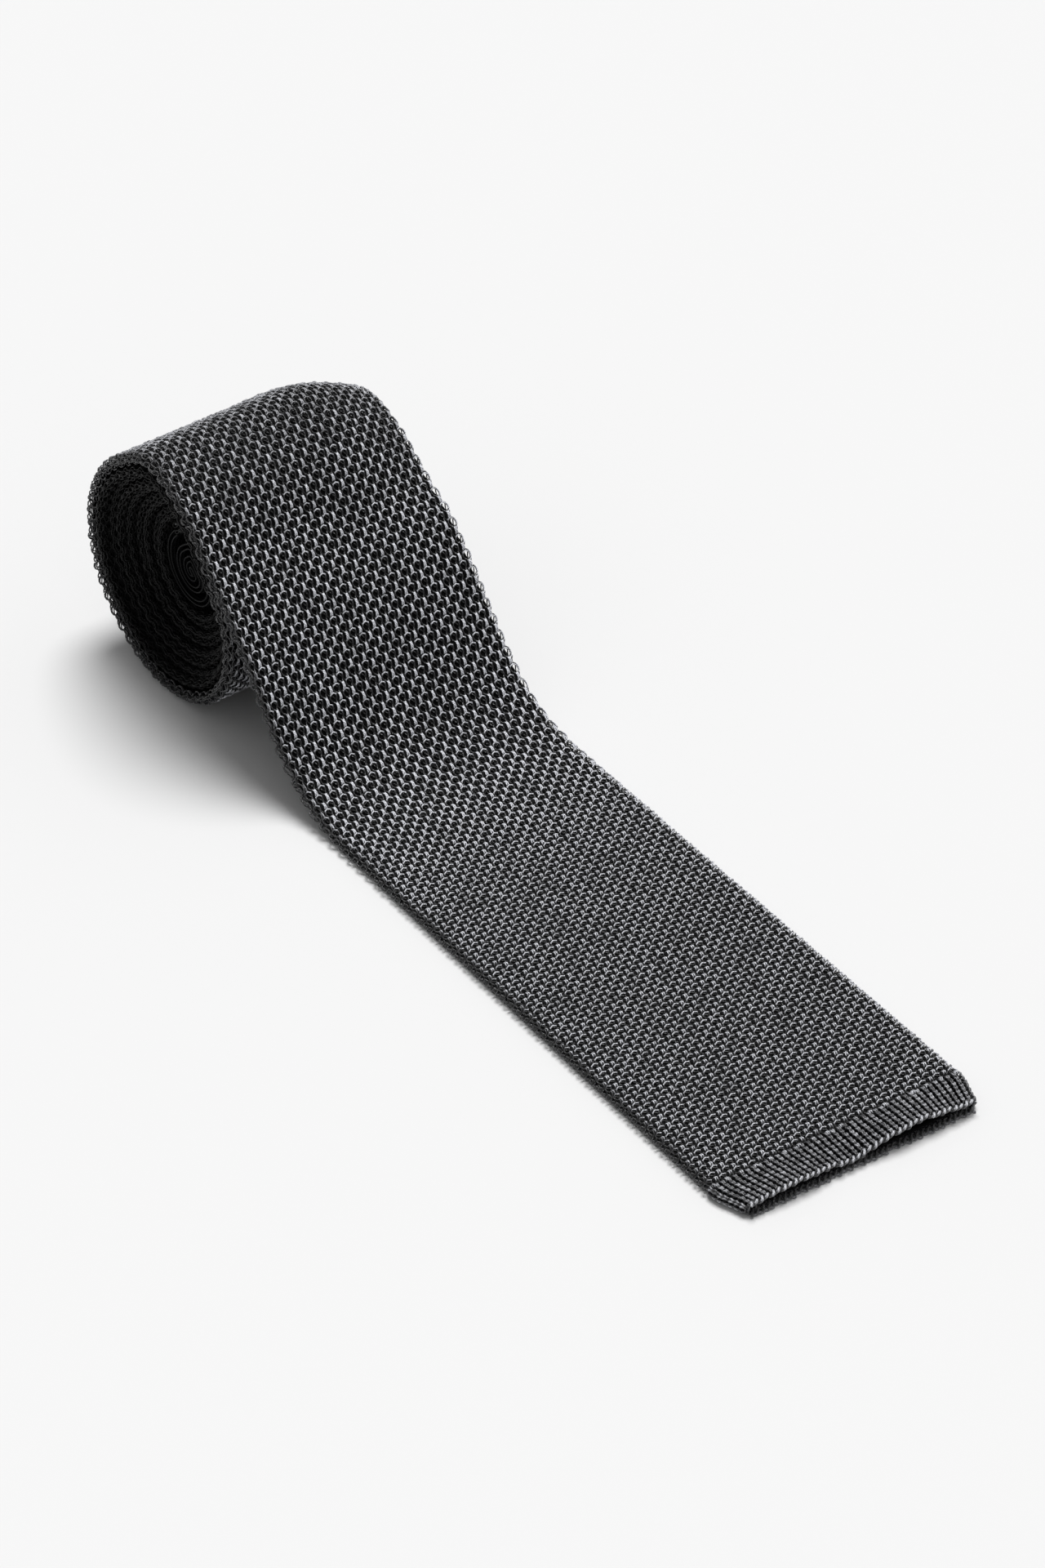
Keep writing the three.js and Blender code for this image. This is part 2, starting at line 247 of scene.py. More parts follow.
def tubes(name, centre, normal, radius, sides, material, painted_light_tone):
    """One capped tube along each row of centre, an array of rows x points x 3, in mm."""
    rows, count = centre.shape[:2]
    way = np.gradient(centre, axis=1)
    way /= np.linalg.norm(way, axis=2, keepdims=True) + 1e-12
    side = np.cross(way, normal)
    side /= np.linalg.norm(side, axis=2, keepdims=True) + 1e-12
    up = np.cross(side, way)
    around = 2 * math.pi * np.arange(sides) / sides
    radius = np.broadcast_to(radius, (rows, count))[..., None, None]
    ring = np.cos(around)[:, None] * up[:, :, None, :] + np.sin(around)[:, None] * side[:, :, None, :]
    points = (centre[:, :, None, :] + radius * ring).reshape(-1, 3)
    base = (np.arange(rows)[:, None, None] * count + np.arange(count - 1)[None, :, None]) * sides
    a = base + np.arange(sides)
    b = base + (np.arange(sides) + 1) % sides
    quads = np.stack([a, b, b + sides, a + sides], -1).reshape(-1, 4)
    first = (np.arange(rows) * count * sides)[:, None] + np.arange(sides)[::-1]
    last = (np.arange(rows) * count + count - 1)[:, None] * sides + np.arange(sides)
    length = np.concatenate(
        [np.zeros((rows, 1)), np.cumsum(np.linalg.norm(np.diff(centre, axis=1), axis=2), axis=1)], 1)
    u0, u1 = length[:, :-1, None], length[:, 1:, None]
    v0 = np.arange(sides) / sides
    v1 = v0 + 1 / sides
    shape = (rows, count - 1, sides)
    grid = lambda u, v: np.stack([np.broadcast_to(u, shape), np.broadcast_to(v, shape)], -1)
    uv = np.stack([grid(u0, v0), grid(u0, v1), grid(u1, v1), grid(u1, v0)], 3).reshape(-1, 2)
    uv = np.concatenate([uv, np.zeros((2 * rows * sides, 2))])
    painted_light_tone = np.repeat(np.broadcast_to(painted_light_tone, (rows, count))[..., None], sides, 2).ravel()
    return make_object(name, points, [quads, np.concatenate([first, last])], material, uv, painted_light_tone)


def ring_faces(rows, count, closed_caps=True):
    """Quads of a tube of rows x count points, and the two flat ends."""
    a = (np.arange(rows - 1)[:, None] * count + np.arange(count)[None]).ravel()
    b = (np.arange(rows - 1)[:, None] * count + (np.arange(count)[None] + 1) % count).ravel()
    faces = [np.stack([a, b, b + count, a + count], -1)]
    if closed_caps:
        faces.append(np.stack([np.arange(count)[::-1], (rows - 1) * count + np.arange(count)]))
    return faces


def closed_skin(name, grid, material):
    """A closed form through cross-sections: grid is stations x section points x 3, in mm, with flat ends."""
    rows, count = grid.shape[:2]
    faces = ring_faces(rows, count)
    middle = grid.mean(axis=1)
    along = np.concatenate([[0], np.cumsum(np.linalg.norm(np.diff(middle, axis=0), axis=1))])
    width_way = grid[:, 0] - middle
    width_way /= np.linalg.norm(width_way, axis=1)[:, None]
    across = ((grid - middle[:, None]) * width_way[:, None]).sum(-1)
    uv = np.stack([np.broadcast_to(along[:, None], across.shape), across], -1).reshape(-1, 2)
    uv = np.concatenate([uv[f].reshape(-1, 2) for f in faces])
    return make_object(name, grid.reshape(-1, 3), faces, material, uv)


# ------------------------------------------------------------------ materials
def nodes_of(name):
    material = bpy.data.materials.new(name)
    material.use_nodes = True
    tree = material.node_tree
    tree.nodes.clear()
    shader = tree.nodes.new("ShaderNodeBsdfPrincipled")
    output = tree.nodes.new("ShaderNodeOutputMaterial")
    tree.links.new(shader.outputs[0], output.inputs[0])

    def node(kind, inputs=None, **settings):
        n = tree.nodes.new("ShaderNode" + kind)
        for key, value in settings.items():
            setattr(n, key, value)
        for key, value in (inputs or {}).items():
            if isinstance(value, bpy.types.NodeSocket):
                tree.links.new(value, n.inputs[key])
            else:
                n.inputs[key].default_value = value
        return n

    return material, shader, node, tree.links.new


def ramp(node, fac, stops):
    n = node("ValToRGB", {0: fac})
    while len(n.color_ramp.elements) < len(stops):
        n.color_ramp.elements.new(0.5)
    for element, (at, colour) in zip(n.color_ramp.elements, stops):
        element.position = at
        element.color = (*colour, 1) if hasattr(colour, "__len__") else (colour, colour, colour, 1)
    return n.outputs[0]


def silk_yarn(name, dark, light, roughness, sheen, ply=1.15, shine=1.0):
    """Two-ply silk: its colour is painted light and shade, darker where the yarn lies deeper in the knit, from
    a per-point attribute, with a little random variation; the twist shows as fine slanting grooves, painted
    darker as well as bumped.
    """
    material, shader, node, link = nodes_of(name)
    painted_light_tone = node("Attribute", attribute_name="painted_light_tone").outputs["Fac"]
    place = node("TexCoord").outputs["Object"]
    patches = node("TexNoise", {"Vector": place, "Scale": 90.0, "Detail": 3.0}).outputs[0]
    varied = node("MapRange", {0: patches, 1: 0.3, 2: 0.7, 3: 0.98, 4: 1.02}).outputs[0]
    mixed = node("Math", {0: painted_light_tone, 1: varied}, operation="MULTIPLY").outputs[0]
    middle = [math.sqrt(d * l) for d, l in zip(dark, light)]
    base = ramp(node, mixed, [(0.0, dark), (0.72, middle), (1.0, light)])
    uv = node("UVMap", uv_map="yarn").outputs[0]
    split = node("SeparateXYZ", {0: uv}).outputs
    turns = node("Math", {0: split[0], 1: 1 / ply}, operation="MULTIPLY").outputs[0]
    around = node("Math", {0: split[1], 1: turns}, operation="ADD").outputs[0]
    wave = node("Math", {0: around, 1: 4 * math.pi}, operation="MULTIPLY").outputs[0]
    groove = node("Math", {0: wave}, operation="SINE").outputs[0]
    round_it = node("Math", {0: around, 1: 40.0}, operation="MULTIPLY").outputs[0]
    fibre_at = node("CombineXYZ", {0: split[0], 1: round_it})
    fibres = node("TexNoise", {"Vector": fibre_at.outputs[0], "Scale": 1.2, "Detail": 2.0}).outputs[0]
    shade = ramp(node, node("MapRange", {0: groove, 1: -1.0, 2: 1.0, 3: 0.0, 4: 1.0}).outputs[0],
                 [(0.0, 0.45), (0.45, 1.0)])
    tinted = node("VectorMath", {0: base, 1: shade}, operation="MULTIPLY")
    link(tinted.outputs[0], shader.inputs["Base Color"])
    height = node("Math", {0: groove, 1: fibres}, operation="ADD").outputs[0]
    bumped = node("Bump", {"Height": height, "Strength": 0.5, "Distance": 0.00006})
    link(bumped.outputs[0], shader.inputs["Normal"])
    rough = node("MapRange", {0: fibres, 1: 0.2, 2: 0.8, 3: roughness - 0.08, 4: roughness + 0.1}).outputs[0]
    link(rough, shader.inputs["Roughness"])
    shader.inputs["Specular IOR Level"].default_value = shine
    shader.inputs["Sheen Weight"].default_value = sheen
    shader.inputs["Sheen Roughness"].default_value = 0.4
    shader.inputs["Sheen Tint"].default_value = (0.8, 0.82, 0.9, 1)
    return material


def ground_cloth(name, colour):
    material, shader, node, link = nodes_of(name)
    place = node("TexCoord").outputs["Object"]
    patches = node("TexNoise", {"Vector": place, "Scale": 900.0, "Detail": 3.0}).outputs[0]
    link(ramp(node, patches, [(0.3, [c * 0.5 for c in colour]), (0.7, colour)]), shader.inputs["Base Color"])
    bumped = node("Bump", {"Height": patches, "Strength": 0.6, "Distance": 0.0002})
    link(bumped.outputs[0], shader.inputs["Normal"])
    shader.inputs["Roughness"].default_value = 0.8
    shader.inputs["Specular IOR Level"].default_value = 0.2
    return material


def ribbed_cloth(name, dark, light, pitch, roughness, depth, sheen=0.2, shine=0.5):
    """Fine cloth with ribs across v of its map, each pitch mm, and a weave along them."""
    material, shader, node, link = nodes_of(name)
    uv = node("SeparateXYZ", {0: node("UVMap", uv_map="yarn").outputs[0]}).outputs
    rib = node("Math", {0: node("Math", {0: uv[1], 1: 2 * math.pi / pitch}, operation="MULTIPLY").outputs[0]},
               operation="SINE").outputs[0]
    pick = node("Math", {0: node("Math", {0: uv[0], 1: 2 * math.pi / 0.45}, operation="MULTIPLY").outputs[0]},
                operation="SINE").outputs[0]
    woven = node("Math", {0: node("Math", {0: pick, 1: 0.35}, operation="MULTIPLY").outputs[0], 1: rib},
                 operation="ADD").outputs[0]
    place = node("TexCoord").outputs["Object"]
    fibres = node("TexNoise", {"Vector": place, "Scale": 1500.0, "Detail": 3.0}).outputs[0]
    height = node("Math", {0: woven, 1: fibres}, operation="ADD").outputs[0]
    level = node("MapRange", {0: height, 1: -1.0, 2: 2.0, 3: 0.0, 4: 1.0}).outputs[0]
    link(ramp(node, level, [(0.15, dark), (0.85, light)]), shader.inputs["Base Color"])
    bumped = node("Bump", {"Height": height, "Strength": 0.8, "Distance": depth * MM})
    link(bumped.outputs[0], shader.inputs["Normal"])
    link(node("MapRange", {0: fibres, 1: 0.2, 2: 0.8, 3: roughness - 0.07, 4: roughness + 0.08}).outputs[0],
         shader.inputs["Roughness"])
    shader.inputs["Specular IOR Level"].default_value = shine
    shader.inputs["Sheen Weight"].default_value = sheen
    shader.inputs["Sheen Roughness"].default_value = 0.4
    return material


YARN = silk_yarn("silk_yarn", (0.003, 0.003, 0.0034), (0.91, 0.925, 0.985), roughness=0.3, sheen=0.06)
# Painted shade: the tube's back layer is the same silk yarn, painted darker as it lies in shade beneath.
SHADED_BACK_YARN = silk_yarn("silk_yarn_back_shaded", (0.006, 0.006, 0.0065), (0.3, 0.303, 0.325), roughness=0.4, sheen=0.25)
# Painted shade: the turns wound inside the roll are the same silk yarn, painted near black as they lie in the
# roll's shade.
SHADED_WOUND_YARN = silk_yarn("silk_yarn_wound_shaded", (0.0006, 0.0006, 0.0007), (0.012, 0.012, 0.0135), roughness=0.5,
                       sheen=0.0, shine=0.25)
THREAD = silk_yarn("sewing_thread", (0.02, 0.02, 0.022), (0.09, 0.09, 0.1), roughness=0.35, sheen=0.1, ply=0.8)
SMOOTH_SILK = ribbed_cloth("neckband_silk", (0.001, 0.001, 0.0012), (0.006, 0.006, 0.007), pitch=0.9,
                           roughness=0.5, depth=0.08, sheen=0.0, shine=0.15)
STRAP = ribbed_cloth("keeper_grosgrain", (0.012, 0.012, 0.014), (0.05, 0.05, 0.056), pitch=0.8, roughness=0.4,
                     depth=0.06)
LABEL = ribbed_cloth("label_satin", (0.014, 0.014, 0.016), (0.04, 0.04, 0.045), pitch=0.25, roughness=0.3,
                     depth=0.02)
# Painted shade: a near-black sheet under the yarn, standing in for the shadow in the gaps between stitches and
# inside the roll.
PAINTED_SHADE_GROUND = ground_cloth("knit_ground_painted_shade", (0.002, 0.002, 0.0024))

# ------------------------------------------------------------------ the knitted tube
FACE_WALES = 34
EDGE_WALES = 2
LAP = 2 * (FACE_WALES + EDGE_WALES)
FACE = (-EDGE_WALES, FACE_WALES + EDGE_WALES)
BACK = (FACE_WALES + EDGE_WALES, 2 * FACE_WALES + EDGE_WALES)
FLAT_COURSE = 1.32
ROLL_COURSE = 1.68
PULLED = (104, 150)  # the courses are drawn apart between these places along the tie
TIGHTENED = (96, 132)  # and the loops are drawn tight between these
PLAIN_TIGHTNESS = 0.6
YARN_RADIUS = 0.138
PRESSED = 0.24  # yarn on the floor is pressed flat, with its middle no lower than this


# A flattened tube's section along the tie: its left edge, width, thickness of one layer, depth of its middle
# under the face, and how much thinner it is away from its edges.
BLADE_START_DEPTH = 1.2
BLADE_START_REACH = 6.0


def blade_middle_depth(s):
    pressed = smooth(s, FIRST_TURN_END, FIRST_TURN_END + BLADE_START_REACH)
    return BLADE_START_DEPTH + (WOUND_KNIT / 2 - BLADE_START_DEPTH) * pressed


LOOSE = (left, width, knit_layer, lambda s: knit_layer(s) + GAP / 2, 0.0)
BLADE = (left, width, lambda s: 0.8, blade_middle_depth, 0.45)
TAIL = (tail_left, tail_width, lambda s: 0.4, lambda s: 1.5 * WOUND_KNIT + GAP, 0.2)


def racetrack(s, around, height, section, face_count, edge_count):
    """A point of a flattened tube's section: around counts stitches from the left of the face, and height is
    outwards from the middle of the knitted layer. Returns x, depth under the face, and the normal in both."""
    left_at, width_at, thick_at, middle_at, flare = section
    thick = thick_at(s)
    stack = 2 * thick + GAP
    bend = (stack - thick) / 2
    lap = around % (2 * (face_count + edge_count))
    face = np.clip(lap, 0, face_count)
    right_turn = np.clip(lap - face_count, 0, edge_count) / edge_count
    back = np.clip(lap - face_count - edge_count, 0, face_count)
    left_turn = np.clip(lap - 2 * face_count - edge_count, 0, edge_count) / edge_count
    turn = math.pi * (right_turn + left_turn)
    inset = stack / 2
    x = left_at(s) + inset + (face - back) / face_count * (width_at(s) - 2 * inset)
    nx, nd = np.sin(turn), np.cos(turn)
    x = x + nx * (bend + height)
    inside = smooth(np.minimum(x - left_at(s), left_at(s) + width_at(s) - x), 1.0, 5.5)
    return x, middle_at(s) - nd * (bend + height) * (1 - flare * inside), nx, nd


def tube_points(s, around, height, section=LOOSE, face_count=FACE_WALES, edge_count=EDGE_WALES):
    x, depth, nx, nd = racetrack(s, around, height, section, face_count, edge_count)
    ny, nz = on_path(s)[2:4]
    points = settle(s, x, depth, nd)
    points[..., 2] = np.maximum(points[..., 2], PRESSED)
    return points, np.stack([nx, nd * ny, nd * nz], -1)


# Where the yarn lies over two wales, a long loop and the tuck behind its neighbour: across in wales, along in
# courses, and height over mid layer in mm.
TUCK = [(-1.0, 0.2, -0.38), (-0.56, -0.4, -0.38), (-0.3, -0.98, -0.25), (-0.2, -0.62, 0.5),
        (-0.1, -0.3, 0.6), (-0.08, 0.05, 0.48), (-0.3, 0.38, -0.1), (-0.48, 0.76, 0.05),
        (-0.38, 1.1, 0.36), (0.02, 1.24, 0.48), (0.4, 1.05, 0.34), (0.48, 0.7, 0.02), (0.28, 0.36, -0.1),
        (0.07, 0.05, 0.48), (0.08, -0.3, 0.6), (0.04, -0.62, 0.5), (0.12, -0.98, -0.25),
        (0.5, -0.4, -0.38)]
# The same loops where the cloth lies slack: they are shorter, and heads and necks stand up in one row.
SLACK = [(-1.0, 0.2, -0.38), (-0.56, -0.4, -0.38), (-0.3, -0.9, -0.3), (-0.16, -0.7, 0.1),
         (-0.12, -0.45, 0.5), (-0.1, -0.2, 0.3), (-0.2, 0.1, -0.3), (-0.4, 0.42, -0.25),
         (-0.42, 0.62, 0.3), (-0.04, 0.76, 0.5), (0.4, 0.66, 0.3), (0.42, 0.46, -0.25), (0.2, 0.1, -0.3),
         (0.1, -0.2, 0.3), (0.12, -0.45, 0.5), (0.14, -0.7, 0.1), (0.16, -0.9, -0.3), (0.5, -0.4, -0.38)]
PLAIN = [(-0.5, -0.5, -0.5), (-0.17, -0.6, 0.0), (-0.12, -0.05, 0.34), (-0.2, 0.4, 0.2), (0, 0.62, -0.2),
         (0.2, 0.4, 0.2), (0.12, -0.05, 0.34), (0.17, -0.6, 0.0)]
NOISE = rng.normal(size=(5, 700, 110)).clip(-2, 2)


def repeat_path(control, per_point, wales):
    """A smooth closed-up run through the control points of one repeat, as offsets from its middle."""
    points = np.array(control)
    ahead = [np.roll(points, -k, axis=0) for k in (-1, 0, 1, 2)]
    ahead[0][0, 0] -= wales
    ahead[2][-1, 0] += wales
    ahead[3][-2:, 0] += wales
    t = (np.arange(per_point) / per_point)[None, :, None]
    a, b, c, d = [p[:, None] for p in ahead]
    run = 0.5 * (2 * b + (c - a) * t + (2 * a - 5 * b + 4 * c - d) * t ** 2
                 + (3 * b - a - 3 * c + d) * t ** 3)
    return run.reshape(-1, 3)


def course_lines():
    """Where each course of the tube lies along the tie: close together on the flat part, and pulled apart on
    the rise and the roll."""
    lines = [HEM_END]
    while lines[-1] < PATH["s"][-1]:
        pulled = float(smooth(lines[-1], *PULLED))
        lines.append(lines[-1] + FLAT_COURSE + (ROLL_COURSE - FLAT_COURSE) * pulled)
    return np.array(lines)


def courses(first, last, around, per_point, place, control=None, wales=2, relief=1.0, lap=LAP):
    """Yarn centre lines as arrays of courses x points: s, stitch count, height over mid layer, and painted
    light and shade for the colour.
    place turns a course count into a place along the tie."""
    number = np.arange(first, last)
    repeats = math.ceil((around[1] - around[0]) / wales) + 1
    if control is None:
        slack, pulled = (repeat_path(c, per_point, wales) for c in (SLACK, TUCK))
        weight = smooth(place(number), *TIGHTENED)[:, None]
        path = slack + weight[..., None] * (pulled - slack)
    else:
        weight = PLAIN_TIGHTNESS
        path = repeat_path(control, per_point, wales)
        path = np.broadcast_to(path, (len(number), *path.shape))
    path = np.tile(path, (1, repeats, 1))
    at = np.repeat(around[0] + wales * np.arange(repeats), path.shape[1] // repeats)
    shift = (number % 2)[:, None] if wales == 2 else 0.5
    stitch = at.astype(int) % lap
    jitter = NOISE[:, first:last][:, :, stitch]
    t = at + path[:, :, 0] + shift + 0.035 * jitter[0]
    s = place(number[:, None] + 0.5 + path[:, :, 1] * (1 + 0.05 * jitter[1])) + 0.05 * jitter[2]
    height = relief * path[:, :, 2] * (1 + 0.12 * jitter[3])
    # Painted shade: yarn lying lower in the knit is painted darker, and courses drawn tight a little darker
    # too; the jitter adds random tone.
    lit = 0.46 + path[:, :, 2] - 0.15 * (weight - 1)
    painted_light_tone = smooth(lit, 0.25, 0.9) * (1 + 0.05 * jitter[4])
    return s, np.clip(t, around[0], around[1]), height, painted_light_tone


COURSE_COUNT = np.arange(-3, len(course_lines()))
COURSE_LINES = np.concatenate([HEM_END + FLAT_COURSE * np.arange(-3, 0), course_lines()])


def knit_piece(name, s_from, s_to, around, sides, material, relief=1.0, section=LOOSE):
    first, last = (int(np.abs(COURSE_LINES - at).argmin()) - 3 for at in (s_from, s_to))
    s, lap, height, painted_light_tone = courses(first, last, around, 1,
                                   lambda n: np.interp(n, COURSE_COUNT, COURSE_LINES), relief=relief)
    if around == BACK:
        height = height - 0.3 * np.exp(-(((lap - sum(BACK) / 2) / 0.7) ** 2))
    # Painted shade: the yarn is painted darker at the left margin and round the left edge, down to 0.18 as
    # bright, and 0.84 as bright on the roll.
    edge = 1 - 0.82 * smooth(-lap, -0.3, 0.8)
    painted_light_tone = painted_light_tone * edge * (1 - 0.16 * smooth(s, MEETS_ROLL - 5, MEETS_ROLL + 30))
    points, normals = tube_points(s, lap, height, section)
    return tubes(name, points, normals, YARN_RADIUS, sides, material, painted_light_tone)


def tube_ground(name, s_from, s_to, outer=-0.55, wall=0.15):
    """The tube's inner cloth, a closed wall open at both ends, just under the yarn, painted near black as
    shade for the gaps between stitches.
    """
    stations = np.arange(s_from, s_to + 0.4, 0.8)
    stations = np.linspace(s_from, s_to, len(stations))
    lap = np.concatenate([np.linspace(0, FACE_WALES, 35)[:-1], FACE_WALES + np.linspace(0, EDGE_WALES, 7)[:-1],
                          FACE_WALES + EDGE_WALES + np.linspace(0, FACE_WALES, 35)[:-1],
                          2 * FACE_WALES + EDGE_WALES + np.linspace(0, EDGE_WALES, 7)[:-1]])
    s, around = np.meshgrid(stations, lap, indexing="ij")
    skins = [tube_points(s, around, np.full(s.shape, height))[0] for height in (outer, outer - wall)]
    rows, count = s.shape
    inner = rows * count
    outside = ring_faces(rows, count, False)[0]
    ring = np.arange(count)
    after = (ring + 1) % count
    last = (rows - 1) * count
    near = np.stack([ring + inner, after + inner, after, ring], -1)
    far = np.stack([ring + last, after + last, after + last + inner, ring + last + inner], -1)
    points = np.concatenate([k.reshape(-1, 3) for k in skins])
    return make_object(name, points, [np.concatenate([outside, outside[:, ::-1] + inner, near, far])], PAINTED_SHADE_GROUND)


# ------------------------------------------------------------------ the ribbed hem and its cast-on edge
RIB_WALES = 40
RIB_COURSE = 1.15
RIB_RADIUS = 0.19
EDGE_RADIUS = 0.27
RIB_EDGE = 2


def hem_ribs(name, around, per_point, sides, material):
    count = round((HEM_END - CAST_OFF * 0.75) / RIB_COURSE)
    lap = 2 * (RIB_WALES + RIB_EDGE)
    s, number, height, painted_light_tone = courses(0, count, around, per_point, lambda n: CAST_OFF * 0.75 + n * RIB_COURSE,
                                      PLAIN, 1, lap=lap)
    points, normals = tube_points(s, number, height, LOOSE, RIB_WALES, RIB_EDGE)
    return tubes(name, points, normals, RIB_RADIUS, sides, material, 0.82 * painted_light_tone)


def cast_on_edge(name, around_from, around_to, material):
    """Loops of the first row: each spans two ribs and hangs below the last course as a shallow U."""
    per_loop = 20
    loops = (around_to - around_from) // 2
    t = np.arange(loops * per_loop + 1) / per_loop
    phase = 2 * math.pi * t
    wobble = NOISE[0, 0, (t.astype(int) % 100)]
    lines, painted_light_tones = [], []
    for way, reach in ((1, 0.7), (-1, 0.4)):
        s = 0.8 - reach * way * np.cos(phase) + 0.2 * wobble
        height = 0.12 + 0.42 * way * np.sin(phase + 0.6)
        lap = around_from + 2 * t
        lines.append(tube_points(s, lap, height, LOOSE, RIB_WALES, RIB_EDGE))
        # Painted shade: loops lying lower are painted darker.
        painted_light_tones.append(0.9 * smooth(height, -0.3, 0.5))
    points = np.stack([p for p, _ in lines])
    normals = np.stack([n for _, n in lines])
    return tubes(name, points, normals, EDGE_RADIUS, 7, material, np.stack(painted_light_tones))


# ------------------------------------------------------------------ stage
AMBIENT = 0.27
LIGHTS = [("key", (0.27, 0.3, 1.0), 2.95, 30)]


def stage():
    floor_material, shader = nodes_of("floor")[:2]
    shader.inputs["Base Color"].default_value = (0.815, 0.815, 0.815, 1)
    shader.inputs["Roughness"].default_value = 0.9
    shader.inputs["Specular IOR Level"].default_value = 0.1
    size = 3000.0
    corners = np.array([[-1, -1, 0], [1, -1, 0], [1, 1, 0], [-1, 1, 0]]) * size
    floor = make_object("floor", corners, [np.array([[0, 1, 2, 3]])], floor_material)
    world = bpy.data.worlds.new("studio")
    bpy.context.scene.world = world
    world.use_nodes = True
    tree = world.node_tree
    height = tree.nodes.new("ShaderNodeSeparateXYZ")
    tree.links.new(tree.nodes.new("ShaderNodeTexCoord").outputs["Generated"], height.inputs[0])
    fall = tree.nodes.new("ShaderNodeMapRange")
    for socket, value in zip(fall.inputs[1:5], (0.06, 0.12, 0.93, AMBIENT)):
        socket.default_value = value
    tree.links.new(height.outputs[2], fall.inputs[0])
    tree.links.new(fall.outputs[0], tree.nodes["Background"].inputs[0])
    for name, towards, energy, spread in LIGHTS:
        light = bpy.data.lights.new(name, "SUN")
        light.energy = energy
        light.angle = math.radians(spread)
        lamp = bpy.data.objects.new(name, light)
        lamp.rotation_euler = Vector(towards).to_track_quat("Z", "Y").to_euler()
        bpy.context.scene.collection.objects.link(lamp)
    bpy.context.scene.view_settings.view_transform = "Standard"


def camera():
    """Looks down the tie from beyond its tip, from the left, as the photograph does."""
    turn, lift, distance = math.radians(34.9), math.radians(39.6), 2.2
    view_height = 0.2977
    aim = Vector((11.3, 18.1, 0.0)) * MM
    back = Vector((-math.sin(turn) * math.cos(lift), -math.cos(turn) * math.cos(lift), math.sin(lift)))
    data = bpy.data.cameras.new("camera")
    data.sensor_fit = "VERTICAL"
    data.sensor_height = 36.0
    data.lens = 36.0 * distance / view_height
    data.clip_end = 20.0
    cam = bpy.data.objects.new("camera", data)
    cam.location = aim + back * distance
    cam.rotation_euler = back.to_track_quat("Z", "Y").to_euler()
    bpy.context.scene.collection.objects.link(cam)
    bpy.context.scene.camera = cam


camera()
stage()

# ------------------------------------------------------------------ wound turns, neckband and small parts
LEFT_EDGE = (-EDGE_WALES - 4, 4)
RIGHT_EDGE = (FACE_WALES - 4, FACE_WALES + EDGE_WALES + 4)


def band_ground(name, s_from, section):
    """The pressed middle of a wound blade, inside its knitted edges, painted near black as shade."""
    s_to = NECK_START - 1.2
    stations = np.linspace(s_from, s_to, int((s_to - s_from) / 1.5) + 2)[:, None]
    left_at, width_at, _, middle_at, _ = section
    middle = middle_at(stations)
    inset, half = 1.1, WOUND_KNIT / 2 - 0.1
    x0, x1 = left_at(stations) + inset, left_at(stations) + width_at(stations) - inset
    x = x0 + (x1 - x0) * np.array([1, 0.97, 0.5, 0.03, 0, 0.03, 0.5, 0.97])
    depth = middle + half * np.array([0, 0.8, 1, 0.8, 0, -0.8, -1, -0.8])
    return closed_skin(name, settle(stations, x, depth), PAINTED_SHADE_GROUND)


def cloth_strip(name, middle, normal, across, half_width, half_thick, material, bow=0.0):
    """Cloth with rounded edges along middle; across is the way of its width, and bow moves its margins.
    All in rows x 3, in mm."""
    turn = np.linspace(0, 2 * math.pi, 24, endpoint=False)
    flat = np.sign(np.cos(turn)) * np.abs(np.cos(turn)) ** 0.25
    high = np.sign(np.sin(turn)) * np.abs(np.sin(turn)) ** 0.6
    grid = (middle[:, None] + flat[None, :, None] * half_width * across[:, None]
            + high[None, :, None] * half_thick * normal[:, None]
            + flat[None, :, None] ** 2 * bow)
    return closed_skin(name, grid, material)


BAND_BOW = 1.1  # how far the band's margins sink towards the eye, between its bulging middle and its edges


def neckband(name):
    """Two legs of the band, joined by the fold at the eye of the roll."""
    s = np.arange(NECK_START + GAP, NECK_FOLD, 0.6)
    y, z, ny, nz, _ = on_path(s)
    normal = np.stack([0 * s, ny, nz], -1)
    place = np.stack([left(s) + NECK_WIDTH / 2, y, z], -1)
    stack = 2 * NECK_CLOTH + GAP
    first = place - normal * NECK_CLOTH / 2
    second = (place - normal * (stack - NECK_CLOTH / 2))[::-1]
    along = np.array([0, nz[-1], -ny[-1]])
    turn = (np.arange(1, 10) / 10 * math.pi)[:, None]
    reach = (stack - NECK_CLOTH) / 2
    fold = place[-1] - normal[-1] * (stack / 2 - reach * np.cos(turn)) + along * reach * np.sin(turn)
    fold_normal = normal[-1] * np.cos(turn) + along * np.sin(turn)
    middle = np.concatenate([first, fold, second])
    normals = np.concatenate([normal, fold_normal, -normal[::-1]])
    across = np.tile([1.0, 0, 0], (len(middle), 1))
    inward = -np.concatenate([normal, np.tile(normal[-1], (len(fold), 1)), normal[::-1]])
    return cloth_strip(name, middle, normals, across, NECK_WIDTH / 2, NECK_CLOTH / 2, SMOOTH_SILK,
                       BAND_BOW * inward[:, None])


def centre(s):
    return left(s) + width(s) / 2


def on_cloth(s, x, depth):
    y, z, ny, nz, _ = on_path(s)
    return np.stack([x + 0 * s, y - ny * depth, z - nz * depth], -1)


def thread_line(name, s, x, depth, radius, material):
    points = on_cloth(s, x, depth)[None]
    normals = np.stack([0 * s] + on_path(s)[2:4], -1)[None]
    return tubes(name, points, normals, radius, 6, material, np.full(points.shape[:2], 0.7))


